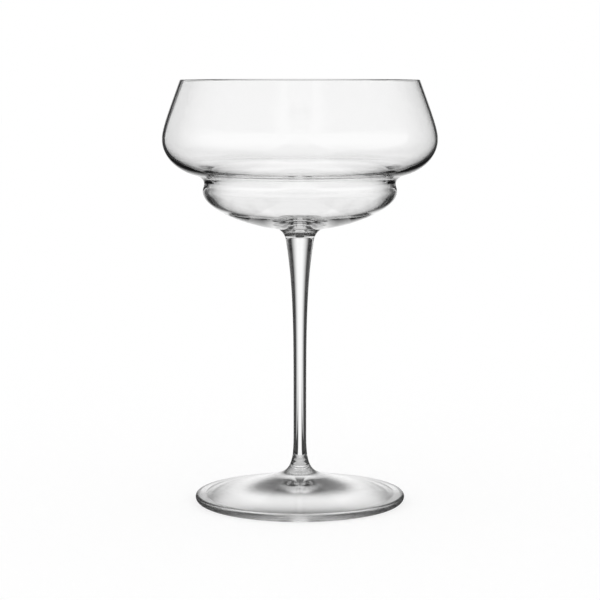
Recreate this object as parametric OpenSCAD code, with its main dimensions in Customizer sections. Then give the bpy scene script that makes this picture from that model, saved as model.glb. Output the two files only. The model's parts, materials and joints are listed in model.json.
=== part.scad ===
// Two-tier coupe glass: a blown bowl with a narrow lower cup, fused to a drawn stem on a pressed foot.
// The axis of the glass is Z, and the foot rests on Z = 0.

/* [Bowl] */
// Height of the bowl, from its seat on the stem to the rim
bowl_h = 56.6; // [50:0.1:64]
// Outer diameter just under the rounded rim
rim_d = 91; // [84:0.5:98]
// How far the wall leans in at the rim, in degrees from upright
rim_lean = 20; // [14:0.5:26]
// Outer diameter of the upper tier at its widest
belly_d = 104.6; // [100:0.2:110]
// Height of that widest place above the bowl's seat
belly_up = 34.1; // [30:0.1:38]
// Outer diameter of the shelf under the upper tier, close to the waist
shelf_d = 81; // [77:0.5:86]
// Height of that place on the shelf above the bowl's seat
shelf_up = 20.8; // [19.5:0.1:22.5]
// How far the shelf slopes there, in degrees from level
shelf_slope = 15; // [10:0.5:22]
// Outer diameter of the waist between the tiers
waist_d = 73; // [70:0.2:73.6]
// Height of the waist above the bowl's seat
waist_up = 17.5; // [16.8:0.1:18.2]
// Outer diameter of the lower cup at its widest
cup_d = 74; // [73.4:0.2:77]
// Height of that widest place above the bowl's seat
cup_up = 14.3; // [12.6:0.1:15.4]
// How far the underside slopes where it meets the stem, in degrees from level
under_slope = 4.5; // [2:0.5:10]
// Height of the low rise in the middle of the bowl's floor
floor_rise = 0.6; // [0.2:0.1:2.4]

/* [Walls] */
// Glass thickness at the rim
rim_wall = 0.8; // [0.7:0.05:1.6]
// Glass thickness at the belly
belly_wall = 0.9; // [0.8:0.05:2]
// Glass thickness on the shelf
shelf_wall = 1.4; // [1.2:0.05:2.4]
// Glass thickness at the waist
waist_wall = 2.2; // [1.6:0.05:3.2]
// Glass thickness of the lower cup
cup_wall = 2.4; // [1.8:0.05:3.8]
// Glass thickness of the bowl's floor round the rise
floor_wall = 3.1; // [2.4:0.1:5]

/* [Stem] */
// Length of the stem, from the foot to the bowl
stem_l = 94.8; // [70:0.2:130]
// Diameter of the stem's head, fused to the bowl
head_d = 16.6; // [14:0.2:19]
// How far the head's flare slopes where it meets the bowl, in degrees from level
head_slope = 38; // [20:1:50]
// Diameter of the neck under the flared head
neck_d = 10.8; // [9:0.1:12.6]
// Distance from the bowl down to the neck
neck_drop = 4.3; // [3:0.1:6]
// Diameter of the stem where it is thinnest
thin_d = 4.9; // [4:0.1:6.5]
// Height of the thinnest place above the foot
thin_up = 18.2; // [14:0.1:26]
// Power of the taper from the neck to the thinnest place: a higher one makes a longer slim stretch
taper = 4.2; // [3:0.1:5.5]
// Diameter of the stem's flared base, fused to the foot
base_d = 16.4; // [13:0.2:18]

/* [Foot] */
// Diameter of the foot
foot_d = 80.6; // [72:0.2:90]
// Height of the foot at its seat for the stem
foot_h = 10.6; // [9:0.1:12.5]
// How far the foot's top slopes at the stem, in degrees from level
seat_slope = 17; // [14:0.5:24]
// How far the foot's top slopes at the edge, in degrees from level
edge_slope = 10; // [6:0.5:13]
// Radius of the foot's edge above its widest place
edge_top = 1.2; // [0.8:0.1:1.8]
// Radius of the foot's edge below its widest place
edge_low = 2.1; // [1.4:0.1:2.6]
// Width of the flat ring that the foot rests on
ring_w = 2.5; // [1.5:0.1:4]
// Depth of the hollow under the foot, at the axis
hollow = 5.8; // [2:0.1:6.4]

/* [Curves] */
// Pulls of the wall from the rim to the belly
rim_to_belly = [0.6, 0.16]; // [0.1:0.01:0.7]
// Pulls of the curve from the belly to the shelf
belly_to_shelf = [0.36, 0.37]; // [0.1:0.01:0.5]
// Pulls of the curve from the shelf to the waist
shelf_to_waist = [0.55, 0.22]; // [0.1:0.01:0.6]
// Pulls of the curve from the waist to the lower cup
waist_to_cup = [0.5, 0.5]; // [0.2:0.01:0.6]
// Pulls of the underside from the lower cup to the stem
cup_to_stem = [0.24, 0.26]; // [0.1:0.01:0.5]
// Pulls of the inside from the lower cup to the floor
cup_to_floor = [0.1, 0.69]; // [0.05:0.01:0.8]
// Pulls of the rise in the bowl's floor
floor_to_rise = [0.58, 0.47]; // [0.1:0.01:0.7]
// Pulls of the flare from the stem's head to its neck
head_to_neck = [0.18, 0.54]; // [0.1:0.01:0.6]
// Pulls of the flare from the thinnest place to the stem's base
thin_to_base = [0.56, 0.32]; // [0.1:0.01:0.6]
// Pulls of the foot's top from the stem to the edge
seat_to_edge = [0.33, 0.33]; // [0.1:0.01:0.5]

/* [Hidden] */
glass_tint = [0.87, 0.9, 0.9, 0.45];
// Straight steps in each curve, in the long taper of the stem and in each rounded edge
curve_steps = 12;
taper_steps = 20;
edge_steps = 6;
$fn = 96;

// Headings in the plane of an outline, in degrees: 0 points away from the axis and 90 points up
down = -90;
inward = 180;
function heading(angle) = [cos(angle), sin(angle)];

// A station on an outline is its radius, its height and the heading there, and on the bowl the wall too.
function place(station) = [station[0], station[1]];

// A bend is a curve between two stations. Its two pulls say how far it keeps to each station's heading,
// as shares of the straight distance between them.
function poles(a, b, pulls) =
    let (hold = pulls * norm(place(b) - place(a)))
    [place(a), place(a) + hold[0] * heading(a[2]), place(b) - hold[1] * heading(b[2]), place(b)];
function bend_point(p, t) =
    pow(1 - t, 3) * p[0] + 3 * t * pow(1 - t, 2) * p[1] + 3 * t * t * (1 - t) * p[2] + pow(t, 3) * p[3];
function bend(a, b, pulls) =
    let (p = poles(a, b, pulls))
    [for (i = [0 : curve_steps - 1]) bend_point(p, i / curve_steps)];

// A run of bends through a list of stations, without the last station
function run(stations, pulls) =
    [for (i = [0 : len(pulls) - 1]) each bend(stations[i], stations[i + 1], pulls[i])];

// The inside of the bowl has stations of its own, one wall in from the outer ones, with the same headings.
function inside(angle) = [sin(angle), -cos(angle)];
function one_wall_in(station) = concat(place(station) + station[3] * inside(station[2]), station[2]);

// An arc without its two end points
function arc_between(centre, radius, from, to) =
    [for (i = [1 : edge_steps - 1]) centre + radius * heading(from + (to - from) * i / edge_steps)];
function reverse(list) = [for (i = [len(list) - 1 : -1 : 0]) list[i]];

// Heights of the two fused seats
stem_z = foot_h;
bowl_z = stem_z + stem_l;

// Bowl, from the rim down the outside
lip_r = rim_wall / 2;
rim_z = bowl_z + bowl_h - lip_r * (1 - sin(rim_lean));
rim = [rim_d / 2, rim_z, down + rim_lean, rim_wall];
belly = [belly_d / 2, bowl_z + belly_up, down, belly_wall];
shelf = [shelf_d / 2, bowl_z + shelf_up, inward + shelf_slope, shelf_wall];
waist = [waist_d / 2, bowl_z + waist_up, down, waist_wall];
cup = [cup_d / 2, bowl_z + cup_up, down, cup_wall];
under = [head_d / 2, bowl_z, inward + under_slope, floor_wall];
bowl_stations = [rim, belly, shelf, waist, cup, under];
upper_pulls = [rim_to_belly, belly_to_shelf, shelf_to_waist, waist_to_cup];
lip_centre = place(rim) + lip_r * inside(rim[2]);
floor_edge = one_wall_in(under);
floor_middle = [0, bowl_z + floor_wall + floor_rise, inward];

// Stem, from the bowl down
head = [head_d / 2, bowl_z, inward + head_slope];
neck_z = bowl_z - neck_drop;
thin_z = stem_z + thin_up;
neck_rate = taper * (neck_d - thin_d) / 2 / (neck_z - thin_z);
neck = [neck_d / 2, neck_z, atan2(-1, -neck_rate)];
thin = [thin_d / 2, thin_z, down];
base = [base_d / 2, stem_z, -seat_slope];
function taper_point(u) = [(thin_d + (neck_d - thin_d) * pow(u, taper)) / 2, thin_z + (neck_z - thin_z) * u];

// Foot, from the stem out to the edge and back under it
edge_top_centre = [foot_d / 2 - edge_top, edge_low];
edge_low_centre = [foot_d / 2 - edge_low, edge_low];
edge_angle = 90 - edge_slope;
edge = concat(edge_top_centre + edge_top * heading(edge_angle), -edge_slope);
ring_out = foot_d / 2 - edge_low;
ring_in = ring_out - ring_w;
dome_angle = 2 * atan(hollow / ring_in);
dome_pull = 1 / 3;
dome_foot = [ring_in, 0, inward - dome_angle];
dome_top = [0, hollow, inward];

module turned(outline) {
    rotate_extrude() polygon(outline);
}

module bowl() {
    outer = run(bowl_stations, concat(upper_pulls, [cup_to_stem]));
    inner = run([for (s = bowl_stations) one_wall_in(s)], concat(upper_pulls, [cup_to_floor]));
    floor_run = bend(floor_edge, floor_middle, floor_to_rise);
    lip = arc_between(lip_centre, lip_r, inward + rim_lean, rim_lean);
    color(glass_tint) turned(concat(
        outer,
        [place(under), [0, bowl_z], place(floor_middle)],
        reverse(floor_run),
        reverse(inner),
        lip
    ));
}

module stem() {
    color(glass_tint) turned(concat(
        [[0, bowl_z]],
        bend(head, neck, head_to_neck),
        [for (i = [0 : taper_steps - 1]) taper_point(1 - i / taper_steps)],
        bend(thin, base, thin_to_base),
        [place(base), [0, stem_z]]
    ));
}

module foot() {
    color(glass_tint) turned(concat(
        [[0, foot_h]],
        bend(base, edge, seat_to_edge),
        [place(edge)],
        arc_between(edge_top_centre, edge_top, edge_angle, 0),
        [[foot_d / 2, edge_low]],
        arc_between(edge_low_centre, edge_low, 0, down),
        [[ring_out, 0]],
        bend(dome_foot, dome_top, [dome_pull, dome_pull]),
        [place(dome_top)]
    ));
}

bowl();
stem();
foot();
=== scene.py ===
"""Two-tier coupe glass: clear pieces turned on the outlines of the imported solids, in a bright studio."""
import json
import math

import bpy
import numpy as np
from mathutils import Matrix, Vector

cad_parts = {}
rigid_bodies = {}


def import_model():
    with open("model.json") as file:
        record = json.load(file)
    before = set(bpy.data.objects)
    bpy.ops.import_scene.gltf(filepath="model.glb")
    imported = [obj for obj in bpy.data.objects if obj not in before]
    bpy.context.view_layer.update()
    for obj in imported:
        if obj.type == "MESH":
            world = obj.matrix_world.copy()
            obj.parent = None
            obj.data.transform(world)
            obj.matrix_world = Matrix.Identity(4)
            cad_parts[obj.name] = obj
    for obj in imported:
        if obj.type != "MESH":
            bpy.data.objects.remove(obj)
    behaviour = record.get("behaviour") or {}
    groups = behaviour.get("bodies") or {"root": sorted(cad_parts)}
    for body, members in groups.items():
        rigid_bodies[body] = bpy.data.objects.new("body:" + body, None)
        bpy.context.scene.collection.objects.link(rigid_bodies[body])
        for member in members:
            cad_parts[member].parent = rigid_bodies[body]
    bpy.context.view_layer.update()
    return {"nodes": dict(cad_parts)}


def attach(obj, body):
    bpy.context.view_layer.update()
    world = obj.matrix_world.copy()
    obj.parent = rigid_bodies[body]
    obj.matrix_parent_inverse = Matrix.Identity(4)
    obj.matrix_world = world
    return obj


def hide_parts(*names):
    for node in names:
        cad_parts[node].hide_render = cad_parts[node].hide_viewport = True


for thing in list(bpy.data.objects):
    bpy.data.objects.remove(thing)
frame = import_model()
scene = bpy.context.scene
MM = 0.001
WHITE = (1, 1, 1, 1)
BODY = "root"

# Photograph: a square image, and a camera placed by the ellipses of the rim and the foot
IMAGE_PX = 600
FOCAL_PX = 2022.8
AXIS_LEFT_PX = 0.1
SENSOR = 36
CLIP_START = 10 * MM
CAMERA_BACK = 770 * MM
CAMERA_UP = 165 * MM
AIM_UP = 78.03 * MM

# Turning: steps round the axis, and steps along each stretch of an outline
TURN_STEPS = 176
OUTLINE_STEPS = 4
# Outlines: the distance within which points share a ring, the sine of the least bend that counts, and the
# number of points in a smooth run
SAME_RING = 0.002 * MM
LEAST_BEND = 1e-4
RUN_POINTS = 5
# Headings, as parts away from the axis and up
OUTWARD = (1, 0)
INWARD = (-1, 0)

# Glass: waves are the traces of blowing, drawn out along the axis, and haze is roughness
GLASS_IOR = 1.51
WAVE_SCALE = 70
WAVE_DETAIL = 1
WAVE_SOFTNESS = 0.3
WAVE_DRAWN = (1, 1, 0.35)
WAVE_DEPTH = 0.004 * MM
HAZE_SCALE = 160
HAZE_DETAIL = 3
POLISHED_HAZE = 0.004
# The pressed foot is softer up to its top, and the drawn stem is clear above its flare.
PRESSED_HAZE = 0.12
FOOT_TOP = 9 * MM
STEM_CLEAR = 18 * MM
# How often light may bend or bounce in the glass
BOUNCES = 32
GLOSSY_BOUNCES = 16

# Studio: a tunnel of cards along the line of sight, open to the white backdrop behind the glass. Places are
# measured from the glass's axis, at the height that the camera aims at. The backdrop's side is positive.
FLAG_ASIDE = 100 * MM
CANOPY_UP = 422 * MM
TRAY_DOWN = 228 * MM
TUNNEL_FRONT = -900 * MM
TUNNEL_BACK = 1500 * MM
CARD_DARK = 0.03
CARD_WHITE = 1 - CARD_DARK
FRONT_CARD_LIGHT = 0.8

# Flags: each is white towards the backdrop, from farther back in its lowest part. It has a soft box in
# front, at the bowl's height, and a dimmer light below that.
FLAG_WHITE_FROM = 190 * MM
FLAG_WHITE_OVER = 130 * MM
FLAG_LOW_FARTHER = 250 * MM
FLAG_LOW = (-100 * MM, -125 * MM)
BOX_LIGHT = 0.8
BOX_HEIGHT = (0, 70 * MM)
LEFT_BOX = (84 * MM, 76 * MM)
RIGHT_BOX = (130 * MM, 10 * MM)
BELOW_BOX_LIGHT = 0.6
BELOW_BOX = (-120 * MM, -320 * MM)

# Tray and canopy: each is lit towards the backdrop, and dimly in front
TRAY_WHITE_FROM = 300 * MM
TRAY_WHITE_OVER = 70 * MM
TRAY_FRONT_LIGHT = 0.5
TRAY_FRONT = (300 * MM, 100 * MM)
CANOPY_WHITE_FROM = 450 * MM
CANOPY_WHITE_OVER = 400 * MM
CANOPY_FRONT_LIGHT = 0.6
CANOPY_FRONT = (-200 * MM, -500 * MM)

# Floor: half its width, its grey, and the shine that brings it to the backdrop's white
FLOOR_HALF = 6
FLOOR_GREY = (0.4, 0.4, 0.4, 1)
FLOOR_SHINE = 0.6


class Wire:
    """A socket of a node tree. Arithmetic on wires adds Math nodes to the tree."""

    def __init__(self, tree, socket):
        self.tree = tree
        self.socket = socket

    def node(self, kind, settings=None, sockets=None, out=0):
        """A new node of this kind, its settings and then its sockets filled, as the wire of one output."""
        made = self.tree.nodes.new(kind)
        for name, value in (settings or {}).items():
            setattr(made, name, value)
        for name, value in (sockets or {}).items():
            if isinstance(value, Wire):
                self.tree.links.new(value.socket, made.inputs[name])
            else:
                made.inputs[name].default_value = value
        return Wire(self.tree, made.outputs[out])

    def math(self, operation, first, second=0):
        return self.node("ShaderNodeMath", {"operation": operation}, {0: first, 1: second})

    def __add__(self, other):
        return self.math("ADD", self, other)

    def __sub__(self, other):
        return self.math("SUBTRACT", self, other)

    def __rsub__(self, other):
        return self.math("SUBTRACT", other, self)

    def __mul__(self, other):
        return self.math("MULTIPLY", self, other)

    def __truediv__(self, other):
        return self.math("DIVIDE", self, other)

    __radd__ = __add__
    __rmul__ = __mul__

    def part(self, axis):
        """A vector's part along X, Y or Z."""
        return self.node("ShaderNodeSeparateXYZ", {}, {"Vector": self}, out=axis)

    def ease(self, start, end):
        """0 at the start and 1 at the end, with a soft change between them."""
        return self.node("ShaderNodeMapRange", {"interpolation_type": "SMOOTHSTEP"},
                         {"Value": self, "From Min": start, "From Max": end})

    def fade_in(self, start, length):
        """0 up to the start, and then closer and closer to 1."""
        past = self.math("MAXIMUM", (self - start) / length)
        return 1 - self.math("EXPONENT", 0 - past)


def bare_tree(owner):
    """The emptied node tree of a material or world, as a wire to its Surface socket."""
    owner.use_nodes = True
    tree = owner.node_tree
    tree.nodes.clear()
    kind = "ShaderNodeOutputWorld" if isinstance(owner, bpy.types.World) else "ShaderNodeOutputMaterial"
    return Wire(tree, tree.nodes.new(kind).inputs["Surface"])


def show(surface, shader):
    surface.tree.links.new(shader.socket, surface.socket)


def add_object(name, data):
    thing = bpy.data.objects.new(name, data)
    scene.collection.objects.link(thing)
    return thing


def clear_glass():
    """Fire-polished glass with the faint waves of blowing and drawing. The pressed foot is less sharp."""
    material = bpy.data.materials.new("clear_glass")
    surface = bare_tree(material)
    place = surface.node("ShaderNodeTexCoord", out="Object")
    drawn = surface.node("ShaderNodeMapping", {}, {"Vector": place, "Scale": WAVE_DRAWN})
    waves = surface.node("ShaderNodeTexNoise", {}, {
        "Vector": drawn,
        "Scale": WAVE_SCALE,
        "Detail": WAVE_DETAIL,
        "Roughness": WAVE_SOFTNESS,
    })
    haze = surface.node("ShaderNodeTexNoise", {}, {
        "Vector": place,
        "Scale": HAZE_SCALE,
        "Detail": HAZE_DETAIL,
    })
    bump = surface.node("ShaderNodeBump", {}, {"Strength": 1, "Distance": WAVE_DEPTH, "Height": waves})
    show(surface, surface.node("ShaderNodeBsdfPrincipled", {}, {
        "Base Color": WHITE,
        "Roughness": POLISHED_HAZE * haze + PRESSED_HAZE * place.part("Z").ease(STEM_CLEAR, FOOT_TOP),
        "IOR": GLASS_IOR,
        "Transmission Weight": 1,
        "Normal": bump,
    }))
    return material


def fused_joint():
    """The melted seam between two pieces, where light passes straight on."""
    material = bpy.data.materials.new("fused_joint")
    surface = bare_tree(material)
    show(surface, surface.node("ShaderNodeBsdfTransparent"))
    return material


def rings_of(mesh):
    """The rings of points round the axis, as radius and height, and the number of each point's ring."""
    places = np.array([vert.co for vert in mesh.vertices], float)
    rings, ring_at, ring_of_point = [], {}, []
    for r, z in zip(np.hypot(places[:, 0], places[:, 1]), places[:, 2]):
        key = (round(r / SAME_RING), round(z / SAME_RING))
        near = [(key[0] + a, key[1] + b) for a in (0, -1, 1) for b in (0, -1, 1)]
        found = next((k for k in near if k in ring_at), None)
        if found is None:
            found = key
            ring_at[key] = len(rings)
            rings.append((r, z))
        ring_of_point.append(ring_at[found])
    return rings, ring_of_point


def outline_of(node):
    """The outline of a turned solid, from a fused seat along its surface, as rows of radius and height."""
    mesh = frame["nodes"][node].data
    rings, ring_of_point = rings_of(mesh)
    beside = [set() for _ in rings]
    for edge in mesh.edges:
        a, b = [ring_of_point[i] for i in edge.vertices]
        if a != b:
            beside[a].add(b)
            beside[b].add(a)
    # A fused seat is a flat disc, so its rim ends the chain of rings away from the axis.
    ends = [i for i, near in enumerate(beside) if len(near) == 1]
    walk = [max(ends, key=lambda i: rings[i])]
    while True:
        onward = [i for i in beside[walk[-1]] if i not in walk[-2:]]
        if not onward:
            break
        walk.append(onward[0])
    return drop_straight(np.array([rings[i] for i in walk]))


def drop_straight(line):
    """The outline without the points that lie on a straight stretch."""
    kept = [line[0]]
    for here, onward in zip(line[1:], line[2:]):
        a, b = here - kept[-1], onward - here
        if abs(a[0] * b[1] - a[1] * b[0]) > LEAST_BEND * np.hypot(*a) * np.hypot(*b):
            kept.append(here)
    return np.array(kept + [line[-1]])


def rates(line):
    """The rates at which each stretch of an outline starts and ends, in two lists.

    They are those of the power curve through the smoothest run of points that holds the stretch.
    """
    count = np.arange(RUN_POINTS)
    powers = count[:, None] ** count[None, :].astype(float)
    slopes = np.hstack([np.zeros((RUN_POINTS, 1)), powers[:, :-1] * count[1:]])
    slopes_of_run = slopes @ np.linalg.inv(powers)
    kinks = np.hypot(*np.diff(line, RUN_POINTS - 1, axis=0).T)
    starts, ends = [], []
    for i in range(len(line) - 1):
        first = max(0, i + 2 - RUN_POINTS)
        first += int(np.argmin(kinks[first:i + 1]))
        along_run = slopes_of_run @ line[first:first + RUN_POINTS]
        starts.append(along_run[i - first])
        ends.append(along_run[i + 1 - first])
    # The flat ring that the foot rests on is straight.
    for i in np.flatnonzero((line[:-1, 1] < SAME_RING) & (line[1:, 1] < SAME_RING)):
        starts[i] = ends[i] = line[i + 1] - line[i]
    return starts, ends


def smooth_curve(line):
    """The smooth curve through an outline: its points, and the headings at both ends of each short step."""
    points, ways = [line[0]], []
    for a, b, leave, arrive in zip(line, line[1:], *rates(line)):
        stretch, headings = [], []
        for t in np.arange(OUTLINE_STEPS + 1) / OUTLINE_STEPS:
            pulled = t * (1 - t) * ((1 - t) * leave - t * arrive)
            stretch.append(a + t * t * (3 - 2 * t) * (b - a) + pulled)
            heading = 6 * t * (1 - t) * (b - a) + (1 - t) * (1 - 3 * t) * leave
            headings.append(heading + t * (3 * t - 2) * arrive)
        points += stretch[1:]
        ways += list(zip(headings, headings[1:]))
    return points, ways


def closed_outline(node):
    """A node's smooth outline, closed to the axis: its rings, its headings and which steps are seats."""
    rings, ways = smooth_curve(outline_of(node))
    rings.insert(0, (0, rings[0][1]))
    ways.insert(0, (OUTWARD, OUTWARD))
    seats = [True] + [False] * (len(ways) - 1)
    if rings[-1][0] > SAME_RING:
        rings.append((0, rings[-1][1]))
        ways.append((INWARD, INWARD))
        seats.append(True)
    return rings, ways, seats


def turned_skin(rings, ways):
    """The skin of a turned outline: its points, its faces and the normal at each corner of a face."""
    turns = [2 * math.pi * k / TURN_STEPS for k in range(TURN_STEPS)]
    verts, ids = [], []
    for r, z in rings:
        at_axis = r < SAME_RING
        first = len(verts)
        verts += [(0, 0, z)] if at_axis else [(r * math.cos(a), r * math.sin(a), z) for a in turns]
        ids.append([first if at_axis else first + k for k in range(TURN_STEPS)])
    # The sense in which the outline runs round the glass tells which side of it is the outside.
    r, z = np.array(rings).T
    sense = float(np.sign(np.sum(r * np.roll(z, -1) - np.roll(r, -1) * z)))
    faces, normals = [], []
    for here, onward, (leave, arrive) in zip(ids, ids[1:], ways):
        for k in range(TURN_STEPS):
            n = (k + 1) % TURN_STEPS
            corners = [(here[k], leave, k), (here[n], leave, n),
                       (onward[n], arrive, n), (onward[k], arrive, k)]
            # At the axis a ring is one point, and the face has three corners.
            if here[0] == here[1]:
                del corners[0]
            if onward[0] == onward[1]:
                del corners[2]
            if sense < 0:
                corners.reverse()
            faces.append([vert for vert, _, _ in corners])
            for _, (out, up), turn in corners:
                facing = Vector((up * math.cos(turns[turn]), up * math.sin(turns[turn]), -out))
                normals.append((sense * facing).normalized())
    return verts, faces, normals


def turned(name, node, finish, seam):
    """A closed piece turned on a node's outline. Its fused seats are flat discs."""
    rings, ways, seats = closed_outline(node)
    verts, faces, normals = turned_skin(rings, ways)
    mesh = bpy.data.meshes.new(name)
    mesh.from_pydata(verts, [], faces, shade_flat=False)
    mesh.materials.append(finish)
    mesh.materials.append(seam)
    mesh.polygons.foreach_set("material_index", np.repeat(seats, TURN_STEPS).astype(int))
    mesh.normals_split_custom_set(normals)
    piece = add_object(name, mesh)
    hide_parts(node)
    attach(piece, BODY)


def photo_camera():
    """The camera at the photograph's place, with the glass's axis a touch left of the middle."""
    camera = add_object("camera", bpy.data.cameras.new("camera"))
    camera.data.sensor_width = SENSOR
    camera.data.lens = FOCAL_PX / IMAGE_PX * SENSOR
    camera.data.clip_start = CLIP_START
    camera.location = (0, -CAMERA_BACK, CAMERA_UP)
    aim = Vector((AXIS_LEFT_PX / FOCAL_PX * CAMERA_BACK, 0, AIM_UP))
    camera.rotation_mode = "QUATERNION"
    camera.rotation_quaternion = (aim - camera.location).to_track_quat("-Z", "Y")
    scene.camera = camera
    bpy.context.view_layer.update()


def card(name, corner, first_side, second_side, level_of):
    """A flat studio card that only the glass sees, from one corner along two sides.

    Its light is level_of a place on it. The camera carries it, so that the glass looks alike from all sides.
    """
    mesh = bpy.data.meshes.new(name)
    places = [corner, corner + first_side, corner + first_side + second_side, corner + second_side]
    mesh.from_pydata(places, [], [(0, 1, 2, 3)])
    thing = add_object(name, mesh)
    thing.parent = scene.camera
    thing.matrix_parent_inverse = scene.camera.matrix_world.inverted() @ Matrix.Translation((0, 0, AIM_UP))
    thing.visible_camera = False
    thing.visible_diffuse = False
    thing.visible_shadow = False
    material = bpy.data.materials.new(name)
    material.cycles.emission_sampling = "NONE"
    surface = bare_tree(material)
    level = level_of(surface.node("ShaderNodeTexCoord", out="Object"))
    # Light that has left the floor sees white, so that the cards don't shade the floor through the glass.
    from_floor = surface.node("ShaderNodeLightPath", out="Diffuse Depth").ease(0, 1)
    show(surface, surface.node("ShaderNodeEmission", {}, {"Color": from_floor * (1 - level) + level}))
    mesh.materials.append(material)


def flag_level(box_start, box_end):
    """A flag's light: dark beside the glass, white towards the backdrop, and a soft box in front."""
    def level_of(place):
        along, up = place.part("Y"), place.part("Z")
        high = up.ease(*BOX_HEIGHT)
        box = BOX_LIGHT * high * along.ease(box_start, box_end)
        below_box = BELOW_BOX_LIGHT * (1 - high) * along.ease(*BELOW_BOX)
        white_from = FLAG_WHITE_FROM + FLAG_LOW_FARTHER * up.ease(*FLAG_LOW)
        return CARD_DARK + CARD_WHITE * along.fade_in(white_from, FLAG_WHITE_OVER) + box + below_box
    return level_of


def tray_level(place):
    along = place.part("Y")
    white = CARD_WHITE * along.fade_in(TRAY_WHITE_FROM, TRAY_WHITE_OVER)
    return CARD_DARK + white + TRAY_FRONT_LIGHT * along.ease(*TRAY_FRONT)


def canopy_level(place):
    along = place.part("Y")
    white = CARD_WHITE * along.fade_in(CANOPY_WHITE_FROM, CANOPY_WHITE_OVER)
    return CARD_DARK + white + CANOPY_FRONT_LIGHT * along.ease(*CANOPY_FRONT)


def tunnel():
    """The five cards: a flag on each side of the glass, the tray, the canopy and one behind the camera."""
    corner = Vector((-FLAG_ASIDE, TUNNEL_FRONT, -TRAY_DOWN))
    across = Vector((2 * FLAG_ASIDE, 0, 0))
    back = Vector((0, TUNNEL_BACK - TUNNEL_FRONT, 0))
    rise = Vector((0, 0, CANOPY_UP + TRAY_DOWN))
    card("left_flag", corner, back, rise, flag_level(*LEFT_BOX))
    card("right_flag", corner + across, back, rise, flag_level(*RIGHT_BOX))
    card("tray", corner, across, back, tray_level)
    card("canopy", corner + rise, across, back, canopy_level)
    card("front_card", corner, across, rise, lambda place: FRONT_CARD_LIGHT)


def floor():
    """A plain pale floor. It shines a little to the camera, so that it is as white as the backdrop."""
    s = FLOOR_HALF
    mesh = bpy.data.meshes.new("floor")
    mesh.from_pydata([(-s, -s, 0), (s, -s, 0), (s, s, 0), (-s, s, 0)], [], [(0, 1, 2, 3)])
    thing = add_object("floor", mesh)
    thing.visible_transmission = False
    thing.visible_glossy = False
    material = bpy.data.materials.new("pale_floor")
    surface = bare_tree(material)
    matt = surface.node("ShaderNodeBsdfDiffuse", {}, {"Color": FLOOR_GREY})
    seen = surface.node("ShaderNodeLightPath", out="Is Camera Ray")
    shine = surface.node("ShaderNodeEmission", {}, {"Color": FLOOR_SHINE * seen})
    show(surface, surface.node("ShaderNodeAddShader", {}, {0: matt, 1: shine}))
    mesh.materials.append(material)


def white_backdrop():
    """The white world, which lights the scene and stands behind the glass."""
    scene.world = bpy.data.worlds.new("studio")
    surface = bare_tree(scene.world)
    show(surface, surface.node("ShaderNodeBackground", {}, {"Color": WHITE, "Strength": 1}))


glass, joint = clear_glass(), fused_joint()
for node in ("bowl", "stem", "foot"):
    turned("glass_" + node, node, glass, joint)
photo_camera()
floor()
tunnel()
white_backdrop()

scene.view_settings.view_transform = "Standard"
scene.cycles.max_bounces = BOUNCES
scene.cycles.transmission_bounces = BOUNCES
scene.cycles.glossy_bounces = GLOSSY_BOUNCES
scene.cycles.transparent_max_bounces = BOUNCES
